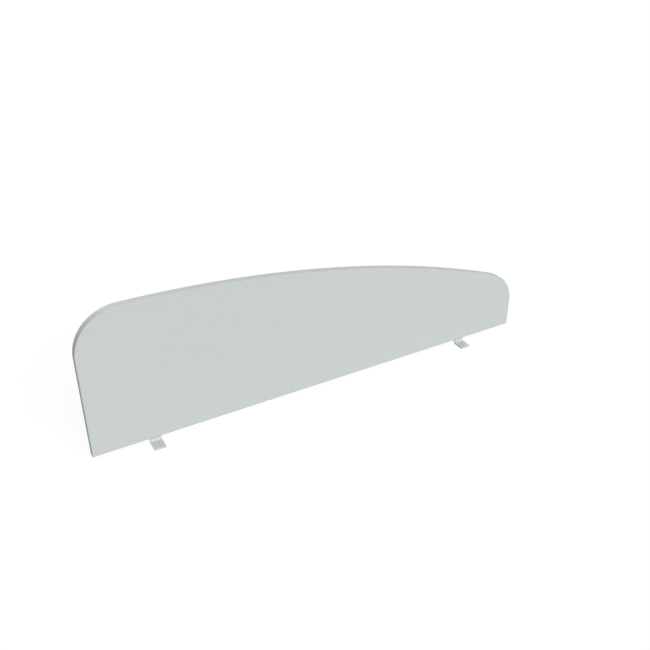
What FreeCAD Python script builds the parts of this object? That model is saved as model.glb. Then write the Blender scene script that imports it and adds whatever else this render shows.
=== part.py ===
# Desk privacy screen: a laminated panel with a falling arch, held on two bent flat-steel brackets.
# Millimetres. +X runs along the panel to its low end, -Y is the front and +Z is up.
# The origin is the middle of the panel's bottom edge.
import FreeCAD, Part
import math
import os

import Sketcher
from FreeCAD import Vector

# Name, value and meaning of each driving dimension.
DIMENSIONS = (
    ("panel_width", 1600, "end to end over the edge bands"),
    ("panel_height", 475, "bottom edge to the level start of the crown"),
    ("low_end_height", 97.5, "straight part of the low end"),
    ("tall_corner_radius", 140, "corner between tall end and crown"),
    ("low_corner_radius", 140, "corner between crown and low end"),
    ("panel_thickness", 25, "face to face over the laminate"),
    ("facing_thickness", 0.5, "decor laminate on each face"),
    ("band_thickness", 2, "edge band"),
    ("band_arris", 1.5, "rounding of the band's long edges"),
    ("strip_width", 38, "flat steel of the brackets"),
    ("strip_thickness", 5, "flat steel of the brackets"),
    ("bend_radius", 5, "inside of the bracket's bend"),
    ("strip_corner", 2, "rounded corners of tab end and leg top"),
    ("strip_bevel", 0.5, "broken edges round the strip"),
    ("tab_length", 50, "rear of the leg to the end of the tab"),
    ("leg_height", 85, "leg above the panel's bottom edge"),
    ("desk_gap", 30, "panel's bottom edge to the top of the tab"),
    ("left_bracket_inset", 200, "tall end to the left bracket's middle"),
    ("right_bracket_inset", 210, "low end to the right bracket's middle"),
    ("tab_hole_diameter", 5.5, "hole for a wood screw into the desk"),
    ("tab_sink_diameter", 11, "mouth of its countersink"),
    ("tab_sink_angle", 90, "full angle of its countersink, degrees"),
    ("tab_hole_pitch", 20, "between the two tab holes"),
    ("tab_hole_edge", 11, "tab end to the first tab hole"),
    ("screw_low", 25, "panel's bottom edge to the lower screw"),
    ("screw_pitch", 40, "between the two screws of a leg"),
    ("screw_diameter", 6, "connector bolt"),
    ("screw_length", 16, "under the head"),
    ("screw_point", 0.8, "chamfer at the screw's end"),
    ("screw_clearance", 0.3, "round the screw in the leg"),
    ("head_diameter", 15, "flat head"),
    ("head_height", 2.2, "flat head"),
    ("head_bevel_width", 1.2, "bevel of the head, seen from the rear"),
    ("head_bevel_depth", 0.9, "bevel of the head, along the screw"),
    ("socket_width", 4, "hexagon socket across flats"),
    ("socket_depth", 3, "hexagon socket"),
    ("insert_diameter", 10, "threaded insert"),
    ("insert_length", 13, "threaded insert"),
    ("insert_clearance", 0.05, "round the insert in the board"),
    ("thread_clearance", 0.1, "between screw and insert"),
    ("drill_spare", 1, "drilled depth beyond the insert"),
)
NAMES = {name for name, _, _ in DIMENSIONS}

# The level axis of a sketch starts at its origin, and the upright axis is numbered next to it.
ORIGIN = -1
LEVEL_AXIS = ORIGIN
UPRIGHT_AXIS = ORIGIN - 1

# The places on a curve, in the sketcher's order.
PLACES = ("whole", "start", "end", "centre")

# Each bracket and the way it lies from the panel's middle.
BRACKETS = {"left": -1, "right": 1}
SCREWS_PER_LEG = 2
HOLES_PER_TAB = 2
HEXAGON = 6

# How far a tab runs forwards from the panel's middle plane.
TAB_REACH = "tab_length - panel_thickness / 2 - strip_thickness"

doc = FreeCAD.newDocument("desk_privacy_screen")
sheet = doc.addObject("Spreadsheet::Sheet", "sizes")


def fill_sheet():
    for row, (name, value, meaning) in enumerate(DIMENSIONS, start=1):
        sheet.set(f"A{row}", meaning)
        sheet.set(f"B{row}", str(value))
        sheet.setAlias(f"B{row}", name)
    doc.recompute()


def size(name):
    return float(sheet.get(name))


def bind(item, prop, words):
    """Ties a property to a formula of size names."""
    item.setExpression(prop, " ".join(f"sizes.{w}" if w in NAMES else w for w in words.split()))


# Bodies, sketches and features


def new_body(label):
    body = doc.addObject("PartDesign::Body", label)
    body.Label = label
    return body


def origin_feature(body, role):
    return next(feature for feature in body.Origin.OriginFeatures if feature.Role == role)


def new_sketch(body, name, plane, offset=None):
    """Starts a sketch on one of the body's origin planes; the offset runs along the plane's normal."""
    sketch = body.newObject("Sketcher::SketchObject", name)
    sketch.AttachmentSupport = [(origin_feature(body, plane), "")]
    sketch.MapMode = "FlatFace"
    if offset:
        bind(sketch, ".AttachmentOffset.Base.z", offset)
    return sketch


def relate(sketch, kind, *places):
    """Adds a constraint between curves and the places named after them."""
    numbers = (PLACES.index(place) if place in PLACES else place for place in places)
    return sketch.addConstraint(Sketcher.Constraint(kind, *numbers))


def point(sketch, curve, place):
    return sketch.getPoint(curve, PLACES.index(place))


def dimension(sketch, words, kind, *places):
    """Adds a dimension at its drawn value and ties it to a formula of sizes."""
    if kind == "Radius":
        drawn = sketch.Geometry[places[0]].Radius
    else:
        span = point(sketch, *places[2:]) - point(sketch, *places[:2])
        drawn = span.x if kind == "DistanceX" else span.y
    index = relate(sketch, kind, *places, drawn)
    bind(sketch, f"Constraints[{index}]", words)


def line(sketch, start, end):
    return sketch.addGeometry(Part.LineSegment(Vector(*start), Vector(*end)))


def arc(sketch, centre, radius, start, end):
    """Adds an arc that runs anticlockwise between two angles in degrees."""
    ring = Part.Circle(Vector(*centre), Vector(0, 0, 1), radius)
    return sketch.addGeometry(Part.ArcOfCircle(ring, math.radians(start), math.radians(end)))


def circle(sketch, centre, radius, words):
    """Adds a circle whose radius follows a formula of sizes."""
    index = sketch.addGeometry(Part.Circle(Vector(*centre), Vector(0, 0, 1), radius))
    dimension(sketch, words, "Radius", index)
    return index


def join(sketch, edges):
    """Joins the end of each edge to the start of the next."""
    for a, b in zip(edges, edges[1:]):
        relate(sketch, "Coincident", a, "end", b, "start")


def polygon(sketch, points):
    edges = [line(sketch, a, b) for a, b in zip(points, points[1:] + points[:1])]
    join(sketch, edges + edges[:1])
    return edges


def pad(body, sketch, length, both_ways=False):
    feature = body.newObject("PartDesign::Pad", sketch.Name + "_pad")
    feature.Profile = sketch
    feature.SideType = "Symmetric" if both_ways else "One side"
    bind(feature, "Length", length)
    doc.recompute()
    return feature


def revolve(body, sketch):
    """Turns a half section about the body's Y axis."""
    feature = body.newObject("PartDesign::Revolution", sketch.Name + "_turned")
    feature.Profile = sketch
    feature.ReferenceAxis = (origin_feature(body, "Y_Axis"), [""])
    doc.recompute()
    return feature


def edges_of(base, chosen):
    return (base, [f"Edge{i}" for i, edge in enumerate(base.Shape.Edges, start=1) if chosen(edge)])


def fillet(body, base, radius, chosen):
    feature = body.newObject("PartDesign::Fillet", base.Name + "_fillet")
    feature.Base = edges_of(base, chosen)
    bind(feature, "Radius", radius)
    doc.recompute()
    return feature


def chamfer(body, base, width, chosen):
    feature = body.newObject("PartDesign::Chamfer", base.Name + "_chamfer")
    feature.Base = edges_of(base, chosen)
    bind(feature, "Size", width)
    doc.recompute()
    return feature


def near(a, b, tolerance=1e-4):
    return abs(a - b) < tolerance


# The panel


def falling_arch(sketch, inset=None):
    """Draws the arch from the low end's foot over the crown to the tall end's foot.

    The crown starts level at the tall corner and is tangent to both corners, so its radius follows from them.
    The inset moves the whole arch inwards by a size's value.
    """
    less = f" - {inset}" if inset else ""
    inward = size(inset) if inset else 0.0
    half = size("panel_width") / 2
    height = size("panel_height")
    low = size("low_end_height")
    tall_radius = size("tall_corner_radius")
    low_radius = size("low_corner_radius")
    span = 2 * half - tall_radius - low_radius
    drop = height - low
    crown_radius = (span**2 / (drop - low_radius) + drop + low_radius) / 2
    meeting = math.degrees(math.atan2(crown_radius - drop, span))

    low_side = line(sketch, (half - inward, inward), (half - inward, low))
    low_corner = arc(sketch, (half - low_radius, low), low_radius - inward, 0, meeting)
    crown = arc(sketch, (tall_radius - half, height - crown_radius), crown_radius - inward, meeting, 90)
    tall_corner = arc(sketch, (tall_radius - half, height - tall_radius), tall_radius - inward, 90, 180)
    tall_side = line(sketch, (inward - half, height - tall_radius), (inward - half, inward))

    run = (low_side, low_corner, crown, tall_corner, tall_side)
    for a, b in zip(run, run[1:]):
        relate(sketch, "Tangent", a, "end", b, "start")
    relate(sketch, "Vertical", low_side)
    relate(sketch, "Vertical", tall_side)
    relate(sketch, "Vertical", crown, "centre", tall_corner, "centre")
    dimension(sketch, "panel_width / 2" + less, "DistanceX", ORIGIN, "start", low_side, "start")
    dimension(sketch, "panel_width / 2" + less, "DistanceX", tall_side, "end", ORIGIN, "start")
    dimension(sketch, "low_corner_radius" + less, "Radius", low_corner)
    dimension(sketch, "tall_corner_radius" + less, "Radius", tall_corner)
    dimension(sketch, "low_end_height", "DistanceY", ORIGIN, "start", low_corner, "centre")
    tall_rise = "panel_height - tall_corner_radius"
    dimension(sketch, tall_rise, "DistanceY", ORIGIN, "start", tall_corner, "centre")
    return run


def board_outline(sketch):
    """The arch inside the edge bands, closed along the bottom band."""
    run = falling_arch(sketch, "band_thickness")
    foot = line(sketch, point(sketch, run[-1], "end"), point(sketch, run[0], "start"))
    join(sketch, (run[-1], foot, run[0]))
    relate(sketch, "Horizontal", foot)
    dimension(sketch, "band_thickness", "DistanceY", ORIGIN, "start", foot, "start")


def board_layer(label, offset, thickness, both_ways=False):
    body = new_body(label)
    sketch = new_sketch(body, label + "_outline", "XZ_Plane", offset)
    board_outline(sketch)
    pad(body, sketch, thickness, both_ways)
    return body


def bracket_middle(side):
    return f"{BRACKETS[side]} * ( panel_width / 2 - {side}_bracket_inset )"


def screw_rise(step):
    return f"screw_low + {step} * screw_pitch"


def drill_for_inserts(body, offset, depth):
    """Drills the insert holes forwards from an offset plane at the rear."""
    sketch = new_sketch(body, body.Name + "_drilling", "XZ_Plane", offset)
    radius = size("insert_diameter") / 2 + size("insert_clearance")
    for side, way in BRACKETS.items():
        reach = size("panel_width") / 2 - size(side + "_bracket_inset")
        for step in range(SCREWS_PER_LEG):
            height = size("screw_low") + step * size("screw_pitch")
            hole = circle(sketch, (way * reach, height), radius, "insert_diameter / 2 + insert_clearance")
            dimension(sketch, bracket_middle(side), "DistanceX", ORIGIN, "start", hole, "centre")
            dimension(sketch, screw_rise(step), "DistanceY", ORIGIN, "start", hole, "centre")
    pocket = body.newObject("PartDesign::Pocket", body.Name + "_holes")
    pocket.Profile = sketch
    pocket.Reversed = True
    bind(pocket, "Length", depth)
    doc.recompute()


def make_core_board():
    body = board_layer("core_board", None, "panel_thickness - 2 * facing_thickness", both_ways=True)
    rear = "facing_thickness - panel_thickness / 2"
    drill_for_inserts(body, rear, "insert_length + drill_spare - facing_thickness")
    return body


def make_front_facing():
    return board_layer("front_facing", "panel_thickness / 2 - facing_thickness", "facing_thickness")


def make_rear_facing():
    rear = "-1 * panel_thickness / 2"
    body = board_layer("rear_facing", rear, "facing_thickness")
    drill_for_inserts(body, rear, "facing_thickness")
    return body


def band_foot(sketch, inner, outer, place):
    """Closes one foot of the band, level with the panel's bottom edge."""
    foot = line(sketch, point(sketch, inner, place), point(sketch, outer, place))
    relate(sketch, "Coincident", foot, "start", inner, place)
    relate(sketch, "Coincident", foot, "end", outer, place)
    relate(sketch, "Horizontal", foot)
    relate(sketch, "PointOnObject", outer, place, LEVEL_AXIS)


def make_contour_edge_band():
    """One band up the tall end, over the crown and down the low end, with rounded long edges."""
    body = new_body("contour_edge_band")
    sketch = new_sketch(body, "contour_band_section", "XZ_Plane")
    outer = falling_arch(sketch)
    inner = falling_arch(sketch, "band_thickness")
    band_foot(sketch, inner[0], outer[0], "start")
    band_foot(sketch, inner[-1], outer[-1], "end")
    strip = pad(body, sketch, "panel_thickness", both_ways=True)

    outer_radii = [sketch.Geometry[i].Radius for i in outer[1:-1]]
    half_width = size("panel_width") / 2
    half_thickness = size("panel_thickness") / 2

    def is_outer_arris(edge):
        box = edge.BoundBox
        if not near(box.YMin, box.YMax) or not near(abs(box.YMin), half_thickness):
            return False
        if isinstance(edge.Curve, Part.Circle):
            return any(near(edge.Curve.Radius, radius) for radius in outer_radii)
        return near(box.XMin, box.XMax) and near(abs(box.XMin), half_width)

    fillet(body, strip, "band_arris", is_outer_arris)
    return body


def make_bottom_edge_band():
    """The straight band between the feet of the contour band."""
    body = new_body("bottom_edge_band")
    sketch = new_sketch(body, "bottom_band_section", "YZ_Plane")
    half = size("panel_thickness") / 2
    rise = size("band_thickness")
    base, rear, top, front = polygon(sketch, [(-half, 0), (half, 0), (half, rise), (-half, rise)])
    for edge in (base, top):
        relate(sketch, "Horizontal", edge)
    for edge in (rear, front):
        relate(sketch, "Vertical", edge)
    relate(sketch, "PointOnObject", base, "start", LEVEL_AXIS)
    dimension(sketch, "panel_thickness / 2", "DistanceX", ORIGIN, "start", base, "end")
    dimension(sketch, "panel_thickness / 2", "DistanceX", base, "start", ORIGIN, "start")
    dimension(sketch, "band_thickness", "DistanceY", rear, "start", rear, "end")
    strip = pad(body, sketch, "panel_width - 2 * band_thickness", both_ways=True)

    def is_bottom_arris(edge):
        box = edge.BoundBox
        return near(box.ZMax, 0) and near(box.YMin, box.YMax)

    fillet(body, strip, "band_arris", is_bottom_arris)
    return body


# The brackets


def tab_end():
    return size("panel_thickness") / 2 + size("strip_thickness") - size("tab_length")


def bracket_section(sketch):
    """Draws the bent strip from the side: leg behind the panel, bend, and tab towards the front."""
    front = size("panel_thickness") / 2
    thick = size("strip_thickness")
    rear = front + thick
    top = size("leg_height")
    over = -size("desk_gap")
    under = over - thick
    bend = size("bend_radius")
    centre = (front - bend, over + bend)

    leg_front = line(sketch, (front, over + bend), (front, top))
    leg_top = line(sketch, (front, top), (rear, top))
    leg_rear = line(sketch, (rear, top), (rear, over + bend))
    outer_bend = arc(sketch, centre, bend + thick, -90, 0)
    tab_under = line(sketch, (front - bend, under), (tab_end(), under))
    tab_tip = line(sketch, (tab_end(), under), (tab_end(), over))
    tab_over = line(sketch, (tab_end(), over), (front - bend, over))
    inner_bend = arc(sketch, centre, bend, -90, 0)

    join(sketch, (leg_front, leg_top, leg_rear))
    join(sketch, (tab_under, tab_tip, tab_over))
    relate(sketch, "Tangent", leg_rear, "end", outer_bend, "end")
    relate(sketch, "Tangent", outer_bend, "start", tab_under, "start")
    relate(sketch, "Tangent", tab_over, "end", inner_bend, "start")
    relate(sketch, "Tangent", inner_bend, "end", leg_front, "start")
    relate(sketch, "Coincident", inner_bend, "centre", outer_bend, "centre")
    for edge in (leg_front, leg_rear, tab_tip):
        relate(sketch, "Vertical", edge)
    for edge in (leg_top, tab_over, tab_under):
        relate(sketch, "Horizontal", edge)
    dimension(sketch, "panel_thickness / 2", "DistanceX", ORIGIN, "start", leg_front, "end")
    dimension(sketch, "strip_thickness", "DistanceX", leg_top, "start", leg_top, "end")
    dimension(sketch, "leg_height", "DistanceY", ORIGIN, "start", leg_front, "end")
    dimension(sketch, "desk_gap", "DistanceY", tab_over, "start", ORIGIN, "start")
    dimension(sketch, "tab_length", "DistanceX", tab_over, "start", leg_top, "end")
    dimension(sketch, "bend_radius", "Radius", inner_bend)


def make_bracket(side):
    body = new_body(side + "_bracket")
    bind(body, ".Placement.Base.x", bracket_middle(side))
    sketch = new_sketch(body, side + "_strip_section", "YZ_Plane")
    bracket_section(sketch)
    strip = pad(body, sketch, "strip_width", both_ways=True)
    half_width = size("strip_width") / 2
    thick = size("strip_thickness")

    def is_corner(edge):
        box = edge.BoundBox
        if not near(box.XMin, box.XMax):
            return False
        at_tab_end = near(box.YMin, tab_end()) and near(box.YMax, tab_end())
        at_leg_top = near(box.ZMin, size("leg_height")) and near(box.ZMax, size("leg_height"))
        return at_tab_end or at_leg_top

    def is_long_edge(edge):
        box = edge.BoundBox
        at_side = near(box.XMin, box.XMax) and near(abs(box.XMin), half_width)
        return at_side and not near(edge.Length, thick)

    rounded = fillet(body, strip, "strip_corner", is_corner)
    chamfer(body, rounded, "strip_bevel", is_long_edge)
    drill_tab(body, side)
    drill_leg(body, side)
    return body


def drill_tab(body, side):
    """Holes in line along the tab, countersunk from below."""
    sketch = new_sketch(body, side + "_tab_drilling", "XY_Plane", "-1 * desk_gap - strip_thickness")
    radius = size("tab_hole_diameter") / 2
    for step in range(HOLES_PER_TAB):
        y = tab_end() + size("tab_hole_edge") + step * size("tab_hole_pitch")
        hole = circle(sketch, (0, y), radius, "tab_hole_diameter / 2")
        relate(sketch, "PointOnObject", hole, "centre", UPRIGHT_AXIS)
        place = f"{TAB_REACH} - tab_hole_edge - {step} * tab_hole_pitch"
        dimension(sketch, place, "DistanceY", hole, "centre", ORIGIN, "start")
    doc.recompute()
    feature = body.newObject("PartDesign::Hole", side + "_tab_holes")
    feature.Profile = sketch
    feature.Reversed = True
    feature.DepthType = "ThroughAll"
    feature.HoleCutType = "Countersink"
    feature.HoleCutCustomValues = True
    bind(feature, "Diameter", "tab_hole_diameter")
    bind(feature, "HoleCutDiameter", "tab_sink_diameter")
    bind(feature, "HoleCutCountersinkAngle", "tab_sink_angle")
    doc.recompute()


def drill_leg(body, side):
    """Clearance holes in the leg, one above the other."""
    sketch = new_sketch(body, side + "_leg_drilling", "XZ_Plane")
    radius = size("screw_diameter") / 2 + size("screw_clearance")
    for step in range(SCREWS_PER_LEG):
        height = size("screw_low") + step * size("screw_pitch")
        hole = circle(sketch, (0, height), radius, "screw_diameter / 2 + screw_clearance")
        relate(sketch, "PointOnObject", hole, "centre", UPRIGHT_AXIS)
        dimension(sketch, screw_rise(step), "DistanceY", ORIGIN, "start", hole, "centre")
    pocket = body.newObject("PartDesign::Pocket", side + "_leg_holes")
    pocket.Profile = sketch
    pocket.Type = "ThroughAll"
    pocket.SideType = "Symmetric"
    doc.recompute()


# The fasteners


def repeat_upwards(body, features):
    """Repeats a fastener at each screw of the leg."""
    pattern = body.newObject("PartDesign::LinearPattern", body.Name + "_row")
    pattern.Originals = features
    pattern.Direction = (origin_feature(body, "Z_Axis"), [""])
    pattern.Occurrences = SCREWS_PER_LEG
    bind(pattern, "Length", f"{SCREWS_PER_LEG - 1} * screw_pitch")
    body.Tip = pattern
    doc.recompute()


def make_inserts(side):
    """Threaded inserts, flush with the rear face."""
    body = new_body(side + "_bracket_inserts")
    bind(body, ".Placement.Base.x", bracket_middle(side))
    bind(body, ".Placement.Base.y", "panel_thickness / 2")
    bind(body, ".Placement.Base.z", "screw_low")
    sketch = new_sketch(body, side + "_insert_section", "YZ_Plane")
    bore = size("screw_diameter") / 2 + size("thread_clearance")
    outside = size("insert_diameter") / 2
    inner_end = -size("insert_length")
    corners = [(inner_end, bore), (0, bore), (0, outside), (inner_end, outside)]
    wall, mouth, skin, end = polygon(sketch, corners)
    for edge in (wall, skin):
        relate(sketch, "Horizontal", edge)
    for edge in (mouth, end):
        relate(sketch, "Vertical", edge)
    relate(sketch, "PointOnObject", mouth, "start", UPRIGHT_AXIS)
    dimension(sketch, "screw_diameter / 2 + thread_clearance", "DistanceY", ORIGIN, "start", wall, "end")
    dimension(sketch, "insert_diameter / 2", "DistanceY", ORIGIN, "start", skin, "start")
    dimension(sketch, "insert_length", "DistanceX", wall, "start", wall, "end")
    repeat_upwards(body, [revolve(body, sketch)])
    return body


def screw_section(sketch):
    """Draws half a flat-head screw along its axis, with the head's seat on the sketch's upright axis."""
    shank = size("screw_diameter") / 2
    taper = size("screw_point")
    tip = -size("screw_length")
    rim = size("head_diameter") / 2
    flat = rim - size("head_bevel_width")
    top = size("head_height")
    rim_top = top - size("head_bevel_depth")

    axis = line(sketch, (tip, 0), (top, 0))
    face = line(sketch, (top, 0), (top, flat))
    bevel = line(sketch, (top, flat), (rim_top, rim))
    edge_wall = line(sketch, (rim_top, rim), (0, rim))
    seat = line(sketch, (0, rim), (0, shank))
    thread = line(sketch, (0, shank), (tip + taper, shank))
    slope = line(sketch, (tip + taper, shank), (tip, shank - taper))
    end = line(sketch, (tip, shank - taper), (tip, 0))

    join(sketch, (axis, face, bevel, edge_wall, seat, thread, slope, end, axis))
    for edge in (edge_wall, thread):
        relate(sketch, "Horizontal", edge)
    for edge in (face, seat, end):
        relate(sketch, "Vertical", edge)
    relate(sketch, "PointOnObject", axis, "start", LEVEL_AXIS)
    relate(sketch, "PointOnObject", axis, "end", LEVEL_AXIS)
    relate(sketch, "PointOnObject", seat, "start", UPRIGHT_AXIS)
    dimension(sketch, "screw_length", "DistanceX", axis, "start", ORIGIN, "start")
    dimension(sketch, "head_height", "DistanceX", ORIGIN, "start", axis, "end")
    dimension(sketch, "head_bevel_width", "DistanceY", bevel, "start", bevel, "end")
    dimension(sketch, "head_bevel_depth", "DistanceX", bevel, "end", bevel, "start")
    dimension(sketch, "head_diameter / 2", "DistanceY", ORIGIN, "start", seat, "start")
    dimension(sketch, "screw_diameter / 2", "DistanceY", ORIGIN, "start", thread, "start")
    dimension(sketch, "screw_point", "DistanceX", slope, "end", slope, "start")
    dimension(sketch, "screw_point", "DistanceY", slope, "end", slope, "start")


def cut_socket(body, side):
    """Sinks the hexagon through the head into the shank."""
    sketch = new_sketch(body, side + "_socket", "XZ_Plane", "-1 * head_height")
    reach = size("socket_width") / math.sqrt(3)
    turns = [math.tau * corner / HEXAGON for corner in range(HEXAGON)]
    edges = polygon(sketch, [(reach * math.cos(turn), reach * math.sin(turn)) for turn in turns])
    ring = sketch.addGeometry(Part.Circle(Vector(0, 0), Vector(0, 0, 1), reach), True)
    relate(sketch, "Coincident", ring, "centre", ORIGIN, "start")
    for edge in edges:
        relate(sketch, "PointOnObject", edge, "start", ring)
    for edge in edges[1:]:
        relate(sketch, "Equal", edges[0], edge)
    relate(sketch, "Horizontal", edges[1])
    dimension(sketch, "socket_width / 2", "DistanceY", ORIGIN, "start", edges[1], "start")
    pocket = body.newObject("PartDesign::Pocket", side + "_socket_cut")
    pocket.Profile = sketch
    pocket.Reversed = True
    bind(pocket, "Length", "socket_depth")
    doc.recompute()
    return pocket


def make_screws(side):
    """Flat-head connector bolts with a hexagon socket, seated on the rear of the leg."""
    body = new_body(side + "_bracket_screws")
    bind(body, ".Placement.Base.x", bracket_middle(side))
    bind(body, ".Placement.Base.y", "panel_thickness / 2 + strip_thickness")
    bind(body, ".Placement.Base.z", "screw_low")
    sketch = new_sketch(body, side + "_screw_section", "YZ_Plane")
    screw_section(sketch)
    turned = revolve(body, sketch)
    repeat_upwards(body, [turned, cut_socket(body, side)])
    return body


def check_and_export(pieces):
    doc.recompute()
    failed = [item.Label for item in doc.Objects if {"Invalid", "Error"} & set(item.State)]
    failed += [piece.Label for piece in pieces if piece.Shape.isNull() or not piece.Shape.isValid()]
    if failed:
        raise RuntimeError("not built: " + ", ".join(failed))
    os.makedirs("parts", exist_ok=True)
    for piece in pieces:
        piece.Shape.exportStep(f"parts/{piece.Label}.step")
        print(f"{piece.Label}: solids {len(piece.Shape.Solids)}, volume {piece.Shape.Volume / 1000:.2f} cm3")


def main():
    fill_sheet()
    pieces = [
        make_core_board(),
        make_front_facing(),
        make_rear_facing(),
        make_contour_edge_band(),
        make_bottom_edge_band(),
    ]
    for side in BRACKETS:
        pieces += [make_bracket(side), make_inserts(side), make_screws(side)]
    check_and_export(pieces)


main()
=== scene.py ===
"""A desk privacy screen: a laminated panel with a falling arch on two bent steel brackets."""
import math

import bmesh
import bpy
from bpy.props import FloatProperty, FloatVectorProperty, PointerProperty
from mathutils import Matrix, Vector


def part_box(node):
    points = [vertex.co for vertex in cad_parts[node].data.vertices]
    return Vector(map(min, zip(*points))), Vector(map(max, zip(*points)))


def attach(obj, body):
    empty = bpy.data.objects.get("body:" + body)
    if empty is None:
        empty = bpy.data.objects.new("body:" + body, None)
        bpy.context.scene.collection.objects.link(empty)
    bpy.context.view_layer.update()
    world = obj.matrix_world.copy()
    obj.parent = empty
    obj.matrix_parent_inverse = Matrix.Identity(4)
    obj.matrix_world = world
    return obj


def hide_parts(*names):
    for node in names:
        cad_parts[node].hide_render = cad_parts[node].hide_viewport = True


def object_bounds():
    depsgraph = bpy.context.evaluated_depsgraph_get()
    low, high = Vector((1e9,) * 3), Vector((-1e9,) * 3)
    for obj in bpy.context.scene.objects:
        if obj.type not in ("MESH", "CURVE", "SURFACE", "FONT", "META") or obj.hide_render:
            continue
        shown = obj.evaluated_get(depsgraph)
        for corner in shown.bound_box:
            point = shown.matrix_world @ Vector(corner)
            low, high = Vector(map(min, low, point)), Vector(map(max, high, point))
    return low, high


bl_info = {
    "name": "Desk Privacy Screen",
    "version": (1, 0, 0),
    "blender": (4, 5, 0),
    "location": "View3D > Sidebar > Desk Screen",
    "description": "Models and finishes a laminated desk screen on two bent steel brackets",
    "category": "Object",
}

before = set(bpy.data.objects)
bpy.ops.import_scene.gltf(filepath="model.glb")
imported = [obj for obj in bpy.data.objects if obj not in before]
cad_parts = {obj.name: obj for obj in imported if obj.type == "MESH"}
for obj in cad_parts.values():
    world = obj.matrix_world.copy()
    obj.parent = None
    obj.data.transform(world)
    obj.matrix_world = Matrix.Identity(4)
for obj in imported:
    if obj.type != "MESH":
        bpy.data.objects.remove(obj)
cad_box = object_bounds()

MM = 0.001
SIDES = ("left", "right")

# Which way the panel's faces look along Y.
FRONT = -1
REAR = 1

# Boxes of the pieces that the sizes below come from.
BAND_LOW, BAND_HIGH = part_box("contour_edge_band")
FACING_LOW, FACING_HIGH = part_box("front_facing")
STRIP_LOW, STRIP_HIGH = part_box("left_bracket")
BOLTS_LOW, BOLTS_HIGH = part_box("left_bracket_screws")

# How finely round shapes are cut.
CORNER_STEPS = 48
CROWN_STEPS = 96
BEND_STEPS = 16
TURNED_STEPS = 48
ARRIS_STEPS = 6
EDGE_STEPS = 3

# Points this close together are one, and points this close to a level lie on it.
SAME_POINT = 0.001 * MM
SAME_LEVEL = 0.01 * MM

# Angles from which an edge shows as a crease, and from which it is softened.
CREASE = math.radians(35)
SOFTENED = math.radians(40)

# Noise mostly keeps between these values, so a pattern is stretched from them to its whole range.
STRETCH = {"From Min": 0.3, "From Max": 0.7}

WHITE = (1, 1, 1, 1)


def linear(code):
    """Turns an sRGB hex code into a linear colour."""
    shares = [int(code[i:i + 2], 16) / 255 for i in (1, 3, 5)]
    return [share / 12.92 if share <= 0.04045 else ((share + 0.055) / 1.055) ** 2.4 for share in shares]


def length(name, description, default):
    """A setting for a length in metres."""
    return FloatProperty(
        name=name, description=description, default=default, subtype="DISTANCE", unit="LENGTH"
    )


def angle(name, description, degrees):
    """A setting for an angle, given in degrees."""
    return FloatProperty(
        name=name, description=description, default=math.radians(degrees), subtype="ANGLE", unit="ROTATION"
    )


def strength(name, description, default):
    """A setting for the strength of a light."""
    return FloatProperty(name=name, description=description, default=default, min=0)


def direction(name, description, default):
    """A setting for the direction that a light comes from."""
    return FloatVectorProperty(
        name=name, description=description, default=default, subtype="DIRECTION", size=3
    )


def colour(name, description, code):
    """A setting for a colour, given as an sRGB hex code."""
    return FloatVectorProperty(
        name=name, description=description, default=linear(code), subtype="COLOR", size=3, min=0, max=1
    )


class PanelSizes(bpy.types.PropertyGroup):
    """Sizes of the laminated panel"""

    width: length("Width", "End to end over the edge bands", BAND_HIGH.x - BAND_LOW.x)
    height: length("Height", "Bottom edge to the level start of the crown", BAND_HIGH.z - BAND_LOW.z)
    thickness: length("Thickness", "Face to face", BAND_HIGH.y - BAND_LOW.y)
    low_end: length("Low End", "Straight part of the low end", 97.5 * MM)
    low_corner: length("Low Corner", "Radius between crown and low end", 140 * MM)
    tall_corner: length("Tall Corner", "Radius between tall end and crown", 140 * MM)
    facing: length("Facing", "Thickness of the laminate", FACING_HIGH.y - FACING_LOW.y)
    band: length("Band", "Thickness of the edge band", FACING_LOW.z - BAND_LOW.z)
    arris: length("Arris", "Rounding of the band's long edges", 1.5 * MM)
    joint: length("Joint", "Bevel on each side of the joint between laminate and band", 0.12 * MM)


class BracketSizes(bpy.types.PropertyGroup):
    """Sizes of the bent strips and their holes"""

    width: length("Width", "Width of the strip", STRIP_HIGH.x - STRIP_LOW.x)
    thickness: length("Thickness", "Thickness of the strip", STRIP_HIGH.y - BAND_HIGH.y)
    leg_top: length("Leg Top", "Top of the leg above the panel's bottom edge", STRIP_HIGH.z)
    tab_end: length("Tab End", "Front end of the tab", STRIP_LOW.y)
    underside: length("Underside", "Height of the tab's underside", STRIP_LOW.z)
    bend: length("Bend", "Inside radius of the bend", 5 * MM)
    corner: length("Corner", "Rounded corners of tab and leg", 2 * MM)
    edge: length("Edge", "Softening of the coated edges", 0.5 * MM)
    tab_hole: length("Tab Hole", "Diameter of the tab's holes", 5.5 * MM)
    tab_sink: length("Tab Countersink", "Diameter of the countersink's mouth", 11 * MM)
    first_hole: length("First Hole", "Tab end to the first hole", 11 * MM)
    hole_pitch: length("Hole Pitch", "Between the tab's holes", 20 * MM)
    leg_hole: length("Leg Hole", "Diameter of the holes for the bolts", 6.6 * MM)


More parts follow.
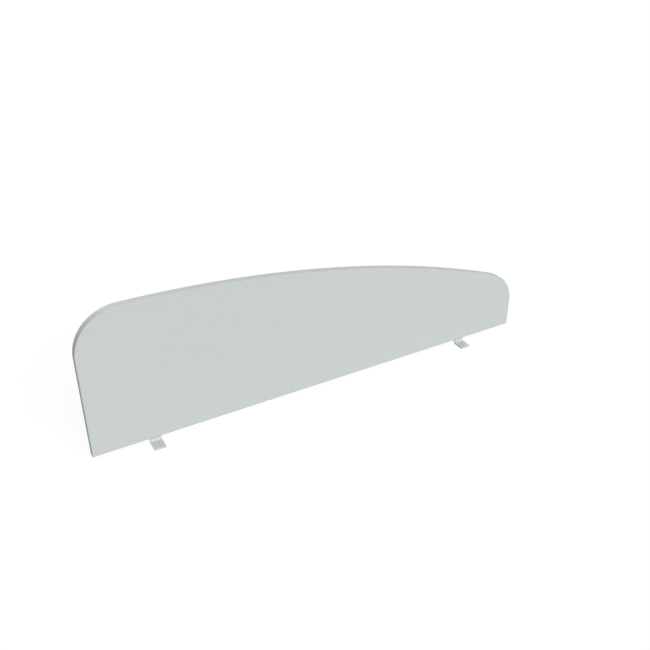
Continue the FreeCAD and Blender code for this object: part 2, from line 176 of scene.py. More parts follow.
class BoltSizes(bpy.types.PropertyGroup):
    """Sizes of the flat-head bolts"""

    head: length("Head", "Diameter of the head", BOLTS_HIGH.x - BOLTS_LOW.x)
    head_height: length("Head Height", "Height of the head", BOLTS_HIGH.y - STRIP_HIGH.y)
    bevel_width: length("Bevel Width", "Bevel of the head, seen from the rear", 1.2 * MM)
    bevel_depth: length("Bevel Depth", "Bevel of the head, along the bolt", 0.9 * MM)
    reach: length("Reach", "Length under the head", STRIP_HIGH.y - BOLTS_LOW.y)
    shank: length("Shank", "Diameter of the shank", 6 * MM)
    neck: length("Neck", "Plain neck under the head", 2 * MM)
    pitch: length("Pitch", "Pitch of the thread", 1 * MM)
    thread_depth: length("Thread Depth", "Crest to root of the thread", 0.6 * MM)
    point: length("Point", "Chamfer at the bolt's end", 0.8 * MM)
    socket: length("Socket", "Hexagon socket across flats", 4 * MM)
    socket_depth: length("Socket Depth", "Depth of the hexagon socket", 3 * MM)
    lead_in: length("Lead-In", "Bevel round the socket's mouth", 0.2 * MM)
    edge: length("Edge", "Softening of the head's edges", 0.15 * MM)
    insert: length("Insert", "Diameter of the holes for the threaded inserts", 10.1 * MM)


class Finishes(bpy.types.PropertyGroup):
    """Colours of the finishes"""

    laminate: colour("Laminate", "Decor laminate on both faces", "#CBD1D1")
    edge_band: colour("Edge Band", "ABS band round the panel", "#C5CACA")
    powder_coat: colour("Powder Coat", "Coating of the brackets", "#D2D6D6")
    zinc: colour("Zinc", "Bright zinc of the bolts", "#C9CCCF")
    passivation: colour("Passivation", "Yellow zinc of the inserts", "#C2AE6E")
    chipboard: colour("Chipboard", "Raw core of the panel", "#B08B5E")
    floor: colour("Floor", "What the studio floor throws back", "#8F8F8F")


class StudioSettings(bpy.types.PropertyGroup):
    """Camera and light"""

    azimuth: angle("Azimuth", "Camera's turn to the left of the front", 30)
    elevation: angle("Elevation", "Camera's height above the horizon", 30)
    field: angle("Field of View", "Camera's angle of view", 45)
    distance: length("Distance", "Camera to the point that it looks at", 2575 * MM)
    target: FloatVectorProperty(
        name="Target", description="Point that the camera looks at", default=(1.8 * MM, 0, 216.4 * MM),
        subtype="XYZ", unit="LENGTH", size=3
    )
    key: strength("Key", "Strength of the light from the front", 2.65)
    key_width: angle("Key Width", "Width of the light from the front", 50)
    key_from: direction("Key From", "Where the light from the front stands", (0.08, -0.82, 0.57))
    rear: strength("Rear", "Strength of the light from behind", 1.9)
    rear_width: angle("Rear Width", "Width of the light from behind", 16)
    rear_from: direction("Rear From", "Where the light from behind stands", (0, 1, 0.13))
    ambient: strength("Ambient", "Strength of the light all round", 0.31)


# Materials


def feed(tree, node, inputs):
    """Sets the inputs of a node, or links them to the outputs of others."""
    for name, value in inputs.items():
        if isinstance(value, bpy.types.NodeSocket):
            tree.links.new(value, node.inputs[name])
        else:
            node.inputs[name].default_value = value


def add(tree, kind, inputs=None, **settings):
    """Adds a node with its settings, and sets or links its inputs."""
    made = tree.nodes.new(kind)
    for name, value in settings.items():
        setattr(made, name, value)
    feed(tree, made, inputs or {})
    return made


def new_material(name, inputs):
    """Starts a material and returns it with its node tree and shader."""
    material = bpy.data.materials.new(name)
    material.use_nodes = True
    tree = material.node_tree
    shader = tree.nodes["Principled BSDF"]
    feed(tree, shader, inputs)
    return material, tree, shader


def opaque(rgb, share=1.0):
    """A colour for a socket, as a share of the given one."""
    return (*(channel * share for channel in rgb), 1.0)


def pearl_laminate(finishes):
    """Melamine decor laminate, pressed against a pearl plate.

    An even tone, with painted shade that darkens the hollows between fine pimples and lightens their tops,
    and a sheen that the pimples break up.
    """
    material, tree, shader = new_material("pearl_laminate", {"IOR": 1.5})
    place = add(tree, "ShaderNodeTexCoord").outputs["Object"]
    pimple = 1.2 * MM
    # Deeper than the plate's few hundredths of a millimetre, so that soft light shows it.
    depth = 0.1 * MM
    darker, lighter = 0.965, 1.035
    pearl = add(tree, "ShaderNodeTexNoise", {"Vector": place, "Scale": 1 / pimple, "Detail": 1.5})
    pimples = add(tree, "ShaderNodeMapRange", {"Value": pearl.outputs["Fac"], **STRETCH}).outputs["Result"]
    # Painted shade: the tone follows the pimples' relief, darker in the hollows and lighter on the tops.
    tone = add(tree, "ShaderNodeMix", {
        "Factor": pimples,
        "A": opaque(finishes.laminate, darker),
        "B": opaque(finishes.laminate, lighter),
    }, data_type="RGBA")
    sheen = add(tree, "ShaderNodeMapRange", {"Value": pimples, "To Min": 0.54, "To Max": 0.40})
    relief = add(tree, "ShaderNodeBump", {"Height": pimples, "Distance": depth, "Strength": 0.6})
    feed(tree, shader, {
        "Base Color": tone.outputs["Result"],
        "Roughness": sheen.outputs["Result"],
        "Normal": relief.outputs["Normal"],
    })
    return material


def lacquered_abs(finishes):
    """Extruded ABS, lacquered.

    The decor's tone, with faint die lines that run along the band.
    """
    material, tree, shader = new_material("lacquered_abs", {"IOR": 1.54, "Specular IOR Level": 0.3})
    place = add(tree, "ShaderNodeTexCoord").outputs["Object"]
    # Wider apart and deeper than a real die's lines, which are too fine to show.
    die_line = 0.8 * MM
    depth = 0.05 * MM
    darker, lighter = 0.97, 1.03
    across = add(tree, "ShaderNodeSeparateXYZ", {"Vector": place}).outputs["Y"]
    drawn = add(tree, "ShaderNodeTexNoise", {
        "W": across,
        "Scale": 1 / die_line,
        "Detail": 2.0,
    }, noise_dimensions="1D")
    lines = add(tree, "ShaderNodeMapRange", {"Value": drawn.outputs["Fac"], **STRETCH}).outputs["Result"]
    tone = add(tree, "ShaderNodeMix", {
        "Factor": lines,
        "A": opaque(finishes.edge_band, darker),
        "B": opaque(finishes.edge_band, lighter),
    }, data_type="RGBA")
    sheen = add(tree, "ShaderNodeMapRange", {"Value": lines, "To Min": 0.70, "To Max": 0.58})
    relief = add(tree, "ShaderNodeBump", {"Height": lines, "Distance": depth, "Strength": 0.5})
    feed(tree, shader, {
        "Base Color": tone.outputs["Result"],
        "Roughness": sheen.outputs["Result"],
        "Normal": relief.outputs["Normal"],
    })
    return material


def powder_coat(finishes):
    """Polyester powder, sprayed on steel and stoved.

    A satin skin with slight orange peel and fine speckle.
    """
    material, tree, shader = new_material("powder_coat", {"IOR": 1.5})
    place = add(tree, "ShaderNodeTexCoord").outputs["Object"]
    peel_size = 2.2 * MM
    # Deeper than the few hundredths of a millimetre of real orange peel, so that soft light shows it.
    peel_depth = 0.15 * MM
    # Coarser than the powder itself, which is too fine to show.
    grain_size = 0.5 * MM
    darker, lighter = 0.95, 1.05
    peel = add(tree, "ShaderNodeTexNoise", {"Vector": place, "Scale": 1 / peel_size, "Detail": 1.0})
    grain = add(tree, "ShaderNodeTexNoise", {"Vector": place, "Scale": 1 / grain_size, "Detail": 1.0})
    speckle = add(tree, "ShaderNodeMapRange", {"Value": grain.outputs["Fac"], **STRETCH}).outputs["Result"]
    tone = add(tree, "ShaderNodeMix", {
        "Factor": speckle,
        "A": opaque(finishes.powder_coat, darker),
        "B": opaque(finishes.powder_coat, lighter),
    }, data_type="RGBA")
    sheen = add(tree, "ShaderNodeMapRange", {"Value": speckle, "To Min": 0.50, "To Max": 0.36})
    relief = add(tree, "ShaderNodeBump", {
        "Height": peel.outputs["Fac"],
        "Distance": peel_depth,
        "Strength": 0.8,
    })
    feed(tree, shader, {
        "Base Color": tone.outputs["Result"],
        "Roughness": sheen.outputs["Result"],
        "Normal": relief.outputs["Normal"],
    })
    return material


def bright_zinc(finishes):
    """Cold-headed steel, barrel-plated with bright zinc.

    A clean metal with soft tumbling marks.
    """
    material, tree, shader = new_material("bright_zinc", {"Metallic": 1.0})
    place = add(tree, "ShaderNodeTexCoord").outputs["Object"]
    mark = 1.0 * MM
    depth = 0.01 * MM
    darker, lighter = 0.94, 1.04
    tumbled = add(tree, "ShaderNodeTexNoise", {"Vector": place, "Scale": 1 / mark, "Detail": 3.0})
    marks = tumbled.outputs["Fac"]
    tone = add(tree, "ShaderNodeMix", {
        "Factor": marks,
        "A": opaque(finishes.zinc, darker),
        "B": opaque(finishes.zinc, lighter),
    }, data_type="RGBA")
    sheen = add(tree, "ShaderNodeMapRange", {"Value": marks, "To Min": 0.22, "To Max": 0.40})
    relief = add(tree, "ShaderNodeBump", {"Height": marks, "Distance": depth, "Strength": 0.4})
    feed(tree, shader, {
        "Base Color": tone.outputs["Result"],
        "Roughness": sheen.outputs["Result"],
        "Normal": relief.outputs["Normal"],
    })
    return material


def yellow_zinc(finishes):
    """Yellow-passivated zinc on turned steel.

    A straw-coloured metal, deeper and duller in patches.
    """
    material, tree, shader = new_material("yellow_zinc", {"Metallic": 1.0})
    place = add(tree, "ShaderNodeTexCoord").outputs["Object"]
    patch = 3 * MM
    darker, lighter = 0.85, 1.1
    stained = add(tree, "ShaderNodeTexNoise", {"Vector": place, "Scale": 1 / patch, "Detail": 2.0})
    patches = stained.outputs["Fac"]
    tone = add(tree, "ShaderNodeMix", {
        "Factor": patches,
        "A": opaque(finishes.passivation, darker),
        "B": opaque(finishes.passivation, lighter),
    }, data_type="RGBA")
    sheen = add(tree, "ShaderNodeMapRange", {"Value": patches, "To Min": 0.45, "To Max": 0.28})
    feed(tree, shader, {"Base Color": tone.outputs["Result"], "Roughness": sheen.outputs["Result"]})
    return material


def raw_chipboard(finishes):
    """Pressed wood chips and glue.

    Matt flakes of differing browns, laid along the board.
    """
    material, tree, shader = new_material("raw_chipboard", {"Roughness": 0.9})
    place = add(tree, "ShaderNodeTexCoord").outputs["Object"]
    chip = 3 * MM
    length_to_width = 3.0
    depth = 0.2 * MM
    lighter, darker = 1.15, 0.6
    laid = add(tree, "ShaderNodeMapping", {"Vector": place, "Scale": (1 / length_to_width, 1.0, 1.0)})
    pressed = add(tree, "ShaderNodeTexVoronoi", {"Vector": laid.outputs["Vector"], "Scale": 1 / chip})
    chips = pressed.outputs["Distance"]
    tone = add(tree, "ShaderNodeMix", {
        "Factor": chips,
        "A": opaque(finishes.chipboard, lighter),
        "B": opaque(finishes.chipboard, darker),
    }, data_type="RGBA")
    relief = add(tree, "ShaderNodeBump", {"Height": chips, "Distance": depth, "Strength": 0.5})
    feed(tree, shader, {"Base Color": tone.outputs["Result"], "Normal": relief.outputs["Normal"]})
    return material


# Shapes


def all_of(bm):
    """Everything in a bmesh."""
    return bm.verts[:] + bm.edges[:] + bm.faces[:]


def carry(bm, section, path):
    """Extrudes a section along a straight path and returns its far end."""
    return bmesh.ops.spin(bm, geom=section, axis=(0, 0, 1), angle=0, dvec=path, steps=1)["geom_last"]


def round_off(bm, geom, radius, steps, affect="EDGES"):
    """Rounds edges, or the corners of a flat section. A single step makes a bevel."""
    bmesh.ops.bevel(
        bm, geom=geom, offset=radius, segments=steps, profile=0.5, affect=affect, material=-1
    )


def follow_arch(bm, section, foot, panel):
    """Carries a section from the low end's foot up, over the crown and down to the tall end's foot.

    The crown starts level at the tall corner and is tangent to both corners, so its radius follows
    from them.
    """
    half = panel.width / 2
    span = panel.width - panel.low_corner - panel.tall_corner
    drop = panel.height - panel.low_end
    crown = (span**2 / (drop - panel.low_corner) + drop + panel.low_corner) / 2
    meeting = math.atan2(crown - drop, span)
    quarter = math.pi / 2
    tall_start = panel.tall_corner - half
    turns = (
        ((half - panel.low_corner, 0, panel.low_end), meeting, CORNER_STEPS),
        ((tall_start, 0, panel.height - crown), quarter - meeting, CROWN_STEPS),
        ((tall_start, 0, panel.height - panel.tall_corner), quarter, CORNER_STEPS),
    )
    section = carry(bm, section, (0, 0, panel.low_end - foot))
    for centre, turn, steps in turns:
        turned = bmesh.ops.spin(bm, geom=section, cent=centre, axis=(0, -1, 0), angle=turn, steps=steps)
        section = turned["geom_last"]
    carry(bm, section, (0, 0, foot + panel.tall_corner - panel.height))
    # Many small turns drift by some hundredths of a millimetre, so the far side is drawn back to its size.
    reach = half - foot
    along = 2 * reach / (reach - min(vert.co.x for vert in bm.verts))
    upright = (panel.height - foot) / max(vert.co.z for vert in bm.verts)
    bmesh.ops.scale(bm, vec=(along, 1, upright), space=Matrix.Translation((-reach, 0, 0)), verts=bm.verts)


def turned_shape(profile, drop=0):
    """Turns a profile of radius and height about the Z axis, as a new bmesh.

    A drop makes the turn a screw.
    """
    bm = bmesh.new()
    verts = [bm.verts.new((radius, 0, height)) for radius, height in profile]
    for pair in zip(verts, verts[1:]):
        bm.edges.new(pair)
    bmesh.ops.spin(
        bm, geom=all_of(bm), axis=(0, 0, 1), angle=math.tau, steps=TURNED_STEPS,
        dvec=(0, 0, -drop / TURNED_STEPS), use_merge=not drop
    )
    bmesh.ops.remove_doubles(bm, verts=bm.verts, dist=SAME_POINT)
    bmesh.ops.recalc_face_normals(bm, faces=bm.faces)
    return bm


def merge(bm, other, place):
    """Moves another bmesh into place and adds it to this one."""
    bmesh.ops.transform(other, matrix=place, verts=other.verts)
    mesh = bpy.data.meshes.new("merged")
    other.to_mesh(mesh)
    other.free()
    bm.from_mesh(mesh)
    bpy.data.meshes.remove(mesh)


def shade(mesh):
    """Shades a mesh smooth up to its creases."""
    mesh.shade_smooth()
    mesh.set_sharp_from_angle(angle=CREASE)


def finish_piece(bm, name, material, node):
    """Makes a bmesh a piece that stands for a CAD node."""
    bmesh.ops.remove_doubles(bm, verts=bm.verts, dist=SAME_POINT)
    bmesh.ops.recalc_face_normals(bm, faces=bm.faces)
    mesh = bpy.data.meshes.new(name)
    bm.to_mesh(mesh)
    bm.free()
    mesh.materials.append(material)
    piece = bpy.data.objects.new(name, mesh)
    bpy.context.scene.collection.objects.link(piece)
    shade(mesh)
    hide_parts(node)
    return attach(piece, "root")


def drill(piece, cutters):
    """Cuts the closed shapes of a bmesh out of a piece."""
    mesh = bpy.data.meshes.new("cutters")
    cutters.to_mesh(mesh)
    cutters.free()
    tool = bpy.data.objects.new("cutters", mesh)
    bpy.context.scene.collection.objects.link(tool)
    cut = piece.modifiers.new("Drill", "BOOLEAN")
    cut.operation = "DIFFERENCE"
    cut.solver = "EXACT"
    cut.object = tool
    solid = piece.data
    drilled = bpy.data.meshes.new_from_object(piece.evaluated_get(bpy.context.evaluated_depsgraph_get()))
    piece.modifiers.clear()
    piece.data = drilled
    drilled.name = solid.name
    shade(drilled)
    bpy.data.objects.remove(tool)
    bpy.data.meshes.remove(mesh)
    bpy.data.meshes.remove(solid)


def soften(piece, width):
    """Rounds the sharp edges of a piece."""
    bevel = piece.modifiers.new("Soft edges", "BEVEL")
    bevel.width = width
    bevel.segments = EDGE_STEPS
    bevel.profile = 0.5
    bevel.limit_method = "ANGLE"
    bevel.angle_limit = SOFTENED
    bevel.harden_normals = True


def bracket_middle(side):
    """Where the middle of a bracket lies along the panel."""
    low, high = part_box(f"{side}_bracket")
    return (low.x + high.x) / 2


def bolt_heights(bolts):
    """Heights of the two bolts of a leg."""
    return (BOLTS_LOW.z + bolts.head / 2, BOLTS_HIGH.z - bolts.head / 2)


def rear_facing_turn(x, y, z):
    """Places a shape turned about Z so that its top faces the rear."""
    return Matrix.Translation((x, y, z)) @ Matrix.Rotation(-math.pi / 2, 4, "X")


def plain_cutter(diameter, depth):
    """A cylinder about Z, as deep on both sides of its middle."""
    return turned_shape(((0, -depth), (diameter / 2, -depth), (diameter / 2, depth), (0, depth)))


# Operators


class DESKSCREEN_OT_facings(bpy.types.Operator):
    """Press the decor laminate on both faces of the panel"""

    bl_idname = "desk_screen.facings"
    bl_label = "Laminate Facings"
    bl_options = {"REGISTER", "UNDO"}

    def execute(self, context):
        panel = context.scene.desk_screen_panel
        material = pearl_laminate(context.scene.desk_screen_finishes)
        self.press(panel, "front_laminate", "front_facing", FRONT, material)
        rear = self.press(panel, "rear_laminate", "rear_facing", REAR, material)
        drill(rear, self.insert_holes(context.scene.desk_screen_bolts, panel.thickness / 2))
        return {"FINISHED"}

    def press(self, panel, name, node, way, material):
        """Makes the sheet on the face that looks the given way."""
        face = way * panel.thickness / 2
        bm = bmesh.new()
        foot = bm.verts.new((panel.width / 2 - panel.band, face, panel.band))
        follow_arch(bm, [foot], panel.band, panel)
        ends = [vert for vert in bm.verts if len(vert.link_edges) == 1]
        bm.edges.new(ends)
        sheet = bmesh.ops.edgeloop_fill(bm, edges=bm.edges[:])["faces"]
        inner = bmesh.ops.extrude_face_region(bm, geom=sheet)["geom"]
        inner_verts = [item for item in inner if isinstance(item, bmesh.types.BMVert)]
        bmesh.ops.translate(bm, vec=(0, -way * panel.facing, 0), verts=inner_verts)
        outside = {vert for vert in bm.verts if abs(vert.co.y - face) < panel.facing / 2}
        rim = [edge for edge in bm.edges if outside.issuperset(edge.verts)]
        round_off(bm, rim, panel.joint, 1)
        return finish_piece(bm, name, material, node)

    def insert_holes(self, bolts, face):
        """Cutters for the holes over the threaded inserts."""
        through = 2 * MM
        bm = bmesh.new()
        for side in SIDES:
            for height in bolt_heights(bolts):
                place = rear_facing_turn(bracket_middle(side), face, height)
                merge(bm, plain_cutter(bolts.insert, through), place)
        return bm


class DESKSCREEN_OT_edge_bands(bpy.types.Operator):
    """Run the edge bands round the panel"""

    bl_idname = "desk_screen.edge_bands"
    bl_label = "Edge Bands"
    bl_options = {"REGISTER", "UNDO"}

    def execute(self, context):
        panel = context.scene.desk_screen_panel
        material = lacquered_abs(context.scene.desk_screen_finishes)
        half = panel.width / 2

        contour = bmesh.new()
        self.section(contour, panel, lambda depth, y: (half - depth, y, 0))
        follow_arch(contour, all_of(contour), 0, panel)
        finish_piece(contour, "contour_band", material, "contour_edge_band")

        bottom = bmesh.new()
        self.section(bottom, panel, lambda depth, y: (panel.band - half, y, depth))
        carry(bottom, all_of(bottom), (panel.width - 2 * panel.band, 0, 0))
        finish_piece(bottom, "bottom_band", material, "bottom_edge_band")
        return {"FINISHED"}

    def section(self, bm, panel, place):
        """Draws the band's section, with rounded arrises outside and a fine joint bevel inside."""
        half = panel.thickness / 2
        corners = ((0, -half), (0, half), (panel.band, half), (panel.band, -half))
        verts = [bm.verts.new(place(depth, y)) for depth, y in corners]
        bm.faces.new(verts)
        outer, inner = verts[:2], verts[2:]
        round_off(bm, inner, panel.joint, 1, "VERTICES")
        round_off(bm, outer, panel.arris, ARRIS_STEPS, "VERTICES")


class DESKSCREEN_OT_brackets(bpy.types.Operator):
    """Bend and drill the flat-steel brackets"""

    bl_idname = "desk_screen.brackets"
    bl_label = "Brackets"
    bl_options = {"REGISTER", "UNDO"}

    def execute(self, context):
        sizes = context.scene.desk_screen_brackets
        material = powder_coat(context.scene.desk_screen_finishes)
        for side in SIDES:
            middle = bracket_middle(side)
            strip = self.bend(context, sizes, middle)
            piece = finish_piece(strip, f"{side}_strip", material, f"{side}_bracket")
            drill(piece, self.holes(context, sizes, middle))
            soften(piece, sizes.edge)
        return {"FINISHED"}

    def bend(self, context, sizes, middle):
        """Carries the strip's section down the leg, round the bend and along the tab."""
        front = context.scene.desk_screen_panel.thickness / 2
        bend_height = sizes.underside + sizes.thickness + sizes.bend
        bend_place = front - sizes.bend
        bm = bmesh.new()
        # A square of one metre, scaled to the section.
        bmesh.ops.create_grid(bm, x_segments=1, y_segments=1, size=0.5)
        bmesh.ops.scale(bm, vec=(sizes.width, sizes.thickness, 1), verts=bm.verts)
        bmesh.ops.translate(bm, vec=(middle, front + sizes.thickness / 2, sizes.leg_top), verts=bm.verts)
        section = carry(bm, all_of(bm), (0, 0, bend_height - sizes.leg_top))
        turned = bmesh.ops.spin(
            bm, geom=section, cent=(middle, bend_place, bend_height), axis=(-1, 0, 0), angle=math.pi / 2,
            steps=BEND_STEPS
        )
        carry(bm, turned["geom_last"], (0, sizes.tab_end - bend_place, 0))
        corners = [edge for edge in bm.edges if self.is_corner(edge, sizes)]
        round_off(bm, corners, sizes.corner, ARRIS_STEPS)
        return bm

    def is_corner(self, edge, sizes):
        """Tells the short edges through the strip at the leg's top and the tab's end."""
        a, b = (vert.co for vert in edge.verts)
        at_leg_top = min(a.z, b.z) > sizes.leg_top - SAME_LEVEL
        at_tab_end = max(a.y, b.y) < sizes.tab_end + SAME_LEVEL
        return abs(a.x - b.x) < SAME_LEVEL and (at_leg_top or at_tab_end)

    def holes(self, context, sizes, middle):
        """Cutters for the countersunk holes of the tab and the plain holes of the leg."""
        panel = context.scene.desk_screen_panel
        spare = 1 * MM
        hole = sizes.tab_hole / 2
        sink = sizes.tab_sink / 2
        top = sizes.thickness + spare
        countersink = ((0, -spare), (sink + spare, -spare), (hole, sink - hole), (hole, top), (0, top))
        first = sizes.tab_end + sizes.first_hole
        bm = bmesh.new()
        for y in (first, first + sizes.hole_pitch):
            merge(bm, turned_shape(countersink), Matrix.Translation((middle, y, sizes.underside)))
        leg = (panel.thickness + sizes.thickness) / 2
        for height in bolt_heights(context.scene.desk_screen_bolts):
            merge(bm, plain_cutter(sizes.leg_hole, sizes.thickness), rear_facing_turn(middle, leg, height))
        return bm


class DESKSCREEN_OT_bolts(bpy.types.Operator):
    """Turn the flat-head bolts that hold the legs to the panel"""

    bl_idname = "desk_screen.bolts"
    bl_label = "Bolts"
    bl_options = {"REGISTER", "UNDO"}

    def execute(self, context):
        sizes = context.scene.desk_screen_bolts
        seat = context.scene.desk_screen_panel.thickness / 2 + context.scene.desk_screen_brackets.thickness
        material = bright_zinc(context.scene.desk_screen_finishes)
        for side in SIDES:
            bm = bmesh.new()
            for height in bolt_heights(sizes):
                merge(bm, self.bolt(sizes), rear_facing_turn(bracket_middle(side), seat, height))
            piece = finish_piece(bm, f"{side}_bolts", material, f"{side}_bracket_screws")
            piece.modifiers.new("Flat faces stay flat", "WEIGHTED_NORMAL").keep_sharp = True
        return {"FINISHED"}

    def bolt(self, sizes):
        """Makes one bolt about Z, with the head's seat at zero."""
        rim = sizes.head / 2
        flat = rim - sizes.bevel_width
        top = sizes.head_height
        shank = sizes.shank / 2
        corner = sizes.socket / math.sqrt(3)
        bm = turned_shape((
            (corner + sizes.lead_in, top), (flat, top), (rim, top - sizes.bevel_depth), (rim, 0),
            (shank, 0), (shank, -sizes.neck),
        ))
        self.sink_socket(bm, sizes, corner)
        self.cut_thread(bm, sizes)
        # Rounding comes last, because it leaves its edges in another order each time.
        rings = [edge for edge in bm.edges if self.is_head_ring(edge, flat)]
        round_off(bm, rings, sizes.edge, EDGE_STEPS)
        return bm

    def is_head_ring(self, edge, least_radius):
        """Tells the edges that run round the head."""
        a, b = (vert.co for vert in edge.verts)
        return abs(a.z - b.z) < SAME_LEVEL and min(a.xy.length, b.xy.length) > least_radius - SAME_LEVEL

    def sink_socket(self, bm, sizes, corner):
        """Closes the open top of the head with a hexagon socket."""
        flats = 6
        mouth = [edge for edge in bm.edges if edge.is_boundary and edge.verts[0].co.z > 0]
        height = sizes.head_height - sizes.lead_in
        place = Matrix.Translation((0, 0, height)) @ Matrix.Rotation(math.pi / flats, 4, "Z")
        bmesh.ops.create_circle(bm, segments=flats, radius=corner, matrix=place)
        sides = [edge for edge in bm.edges if edge.is_wire]
        bmesh.ops.subdivide_edges(bm, edges=sides, cuts=TURNED_STEPS // flats - 1)
        hexagon = [edge for edge in bm.edges if edge.is_wire]
        bmesh.ops.bridge_loops(bm, edges=mouth + hexagon)
        sunk = bmesh.ops.extrude_edge_only(bm, edges=hexagon)["geom"]
        floor = [item for item in sunk if isinstance(item, bmesh.types.BMVert)]
        bmesh.ops.translate(bm, vec=(0, 0, sizes.lead_in - sizes.socket_depth), verts=floor)
        bmesh.ops.edgeloop_fill(bm, edges=[item for item in sunk if isinstance(item, bmesh.types.BMEdge)])

    def cut_thread(self, bm, sizes):
        """Adds the thread and the point under the neck.

        Ridges that drop by a pitch in one turn join into one helix.
        """
        crest = sizes.shank / 2
        end = -sizes.reach
        first = sizes.neck + sizes.pitch / 4
        ridges = int((sizes.reach - sizes.point - first) / sizes.pitch) - 1
        heights = [-first - step * sizes.pitch / 2 for step in range(2 * ridges + 1)]
        zigzag = [(crest - sizes.thread_depth * (step % 2), height) for step, height in enumerate(heights)]
        point = ((crest, end + sizes.point), (crest - sizes.point, end), (0, end))
        merge(bm, turned_shape(zigzag, sizes.pitch), Matrix())
        merge(bm, turned_shape(point), Matrix())
        rims = [edge for edge in bm.edges if edge.is_boundary]
        upper = [edge for edge in rims if edge.verts[0].co.z > heights[ridges]]
        lower = [edge for edge in rims if edge not in upper]
        bmesh.ops.bridge_loops(bm, edges=upper)
        bmesh.ops.bridge_loops(bm, edges=lower)


class DESKSCREEN_OT_inner_pieces(bpy.types.Operator):
    """Give the core board and the threaded inserts their raw finishes"""

    bl_idname = "desk_screen.inner_pieces"
    bl_label = "Core and Inserts"
    bl_options = {"REGISTER", "UNDO"}

    def execute(self, context):
        finishes = context.scene.desk_screen_finishes
        self.coat("core_board", raw_chipboard(finishes))
        steel = yellow_zinc(finishes)
        for side in SIDES:
            self.coat(f"{side}_bracket_inserts", steel)
        return {"FINISHED"}

    def coat(self, node, material):
        """Gives a CAD node its material."""
        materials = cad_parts[node].data.materials
        materials.clear()
        materials.append(material)


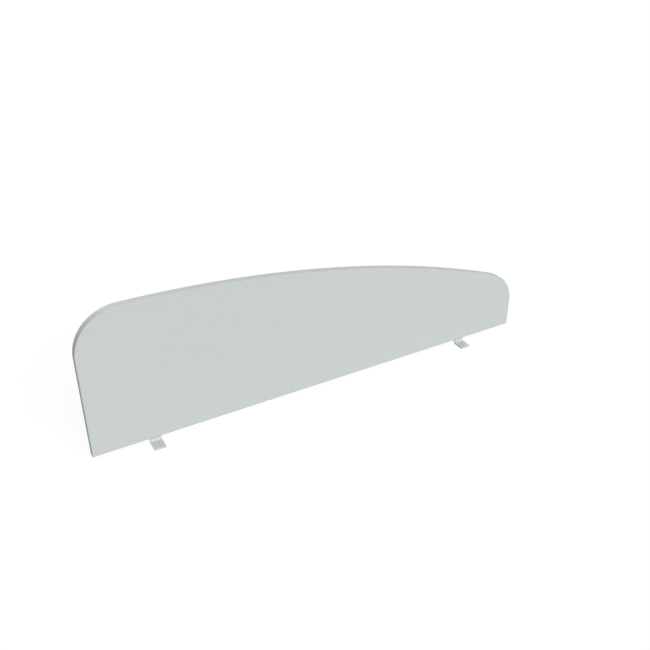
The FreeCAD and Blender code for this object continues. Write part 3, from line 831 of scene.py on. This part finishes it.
class DESKSCREEN_OT_stage(bpy.types.Operator):
    """Set the pale floor, the soft light and the camera"""

    bl_idname = "desk_screen.stage"
    bl_label = "Stage"
    bl_options = {"REGISTER", "UNDO"}

    def execute(self, context):
        scene = context.scene
        scene.view_settings.view_transform = "Standard"
        studio = scene.desk_screen_studio
        self.lay_floor(scene)
        self.light_all_round(scene, studio)
        self.shine(scene, "key_light", studio.key, studio.key_width, studio.key_from)
        self.shine(scene, "rear_light", studio.rear, studio.rear_width, studio.rear_from)
        self.aim_camera(scene, studio)
        return {"FINISHED"}

    def seen(self, tree):
        """One where the camera sees a surface, straight or by reflection or through glass."""
        path = add(tree, "ShaderNodeLightPath").outputs
        mirrored = add(tree, "ShaderNodeMath", {
            0: path["Is Glossy Ray"],
            1: path["Is Transmission Ray"],
        }, operation="MAXIMUM")
        both = add(tree, "ShaderNodeMath", {
            0: path["Is Camera Ray"],
            1: mirrored.outputs["Value"],
        }, operation="MAXIMUM")
        return both.outputs["Value"]

    def lay_floor(self, scene):
        """Lays a plain floor just under the brackets."""
        reach = 40
        gap = 0.1 * MM
        bm = bmesh.new()
        bmesh.ops.create_grid(bm, x_segments=1, y_segments=1, size=reach)
        bmesh.ops.translate(bm, vec=(0, 0, cad_box[0].z - gap), verts=bm.verts)
        mesh = bpy.data.meshes.new("floor")
        bm.to_mesh(mesh)
        bm.free()
        mesh.materials.append(self.floor_paint(scene.desk_screen_finishes.floor))
        floor = bpy.data.objects.new("floor", mesh)
        scene.collection.objects.link(floor)

    def floor_paint(self, rgb):
        """A paint that looks white, keeps a pale shadow and can be looked through from below."""
        # The white is mostly a glow. The rest is light on the floor, in which the shadow shows.
        glow_strength = 0.88
        lit_share = 0.56
        material = bpy.data.materials.new("studio_floor")
        material.use_nodes = True
        tree = material.node_tree
        tree.nodes.clear()
        plain = add(tree, "ShaderNodeBsdfDiffuse", {"Color": opaque(rgb)})
        lit = add(tree, "ShaderNodeBsdfDiffuse", {"Color": opaque(rgb, lit_share)})
        glow = add(tree, "ShaderNodeEmission", {"Color": WHITE, "Strength": glow_strength})
        white = add(tree, "ShaderNodeAddShader", {0: lit.outputs[0], 1: glow.outputs[0]})
        above = add(tree, "ShaderNodeMixShader", {
            0: self.seen(tree),
            1: plain.outputs[0],
            2: white.outputs[0],
        })
        below = add(tree, "ShaderNodeBsdfTransparent")
        one_way = add(tree, "ShaderNodeMixShader", {
            0: add(tree, "ShaderNodeNewGeometry").outputs["Backfacing"],
            1: above.outputs[0],
            2: below.outputs[0],
        })
        add(tree, "ShaderNodeOutputMaterial", {"Surface": one_way.outputs[0]})
        return material

    def light_all_round(self, scene, studio):
        """Lights from all sides, with white to look at."""
        world = bpy.data.worlds.new("studio")
        scene.world = world
        world.use_nodes = True
        tree = world.node_tree
        tree.nodes.clear()
        soft = add(tree, "ShaderNodeBackground", {"Color": WHITE, "Strength": studio.ambient})
        white = add(tree, "ShaderNodeBackground", {"Color": WHITE, "Strength": 1.0})
        chosen = add(tree, "ShaderNodeMixShader", {
            0: self.seen(tree),
            1: soft.outputs[0],
            2: white.outputs[0],
        })
        add(tree, "ShaderNodeOutputWorld", {"Surface": chosen.outputs[0]})

    def shine(self, scene, name, energy, width, towards):
        """Adds a far light in the given direction from the object."""
        lamp = bpy.data.lights.new(name, "SUN")
        lamp.energy = energy
        lamp.angle = width
        light = bpy.data.objects.new(name, lamp)
        light.rotation_euler = Vector(towards).to_track_quat("Z", "Y").to_euler()
        scene.collection.objects.link(light)

    def aim_camera(self, scene, studio):
        """Stands the camera off from its target and looks back at it."""
        back = Vector((
            -math.sin(studio.azimuth) * math.cos(studio.elevation),
            -math.cos(studio.azimuth) * math.cos(studio.elevation),
            math.sin(studio.elevation),
        ))
        lens = bpy.data.cameras.new("camera")
        lens.angle = studio.field
        camera = bpy.data.objects.new("camera", lens)
        camera.location = Vector(studio.target) + back * studio.distance
        camera.rotation_euler = back.to_track_quat("Z", "Y").to_euler()
        scene.collection.objects.link(camera)
        scene.camera = camera


OPERATORS = (
    DESKSCREEN_OT_facings,
    DESKSCREEN_OT_edge_bands,
    DESKSCREEN_OT_brackets,
    DESKSCREEN_OT_bolts,
    DESKSCREEN_OT_inner_pieces,
    DESKSCREEN_OT_stage,
)

SETTINGS = {
    "desk_screen_panel": PanelSizes,
    "desk_screen_brackets": BracketSizes,
    "desk_screen_bolts": BoltSizes,
    "desk_screen_finishes": Finishes,
    "desk_screen_studio": StudioSettings,
}


class DESKSCREEN_PT_sidebar(bpy.types.Panel):
    """Lists the pieces of the desk screen and their settings"""

    bl_label = "Desk Screen"
    bl_space_type = "VIEW_3D"
    bl_region_type = "UI"
    bl_category = "Desk Screen"

    def draw(self, context):
        for operator in OPERATORS:
            self.layout.operator(operator.bl_idname)
        for name, group in SETTINGS.items():
            box = self.layout.box()
            box.label(text=group.__doc__)
            for prop in group.__annotations__:
                box.prop(getattr(context.scene, name), prop)


def register():
    for group in SETTINGS.values():
        bpy.utils.register_class(group)
    for operator in OPERATORS:
        bpy.utils.register_class(operator)
    bpy.utils.register_class(DESKSCREEN_PT_sidebar)
    for name, group in SETTINGS.items():
        setattr(bpy.types.Scene, name, PointerProperty(type=group))


def unregister():
    for name in SETTINGS:
        delattr(bpy.types.Scene, name)
    bpy.utils.unregister_class(DESKSCREEN_PT_sidebar)
    for operator in reversed(OPERATORS):
        bpy.utils.unregister_class(operator)
    for group in reversed(SETTINGS.values()):
        bpy.utils.unregister_class(group)


def main():
    register()
    bpy.ops.desk_screen.facings()
    bpy.ops.desk_screen.edge_bands()
    bpy.ops.desk_screen.brackets()
    bpy.ops.desk_screen.bolts()
    bpy.ops.desk_screen.inner_pieces()
    bpy.ops.desk_screen.stage()


if __name__ == "__main__":
    main()
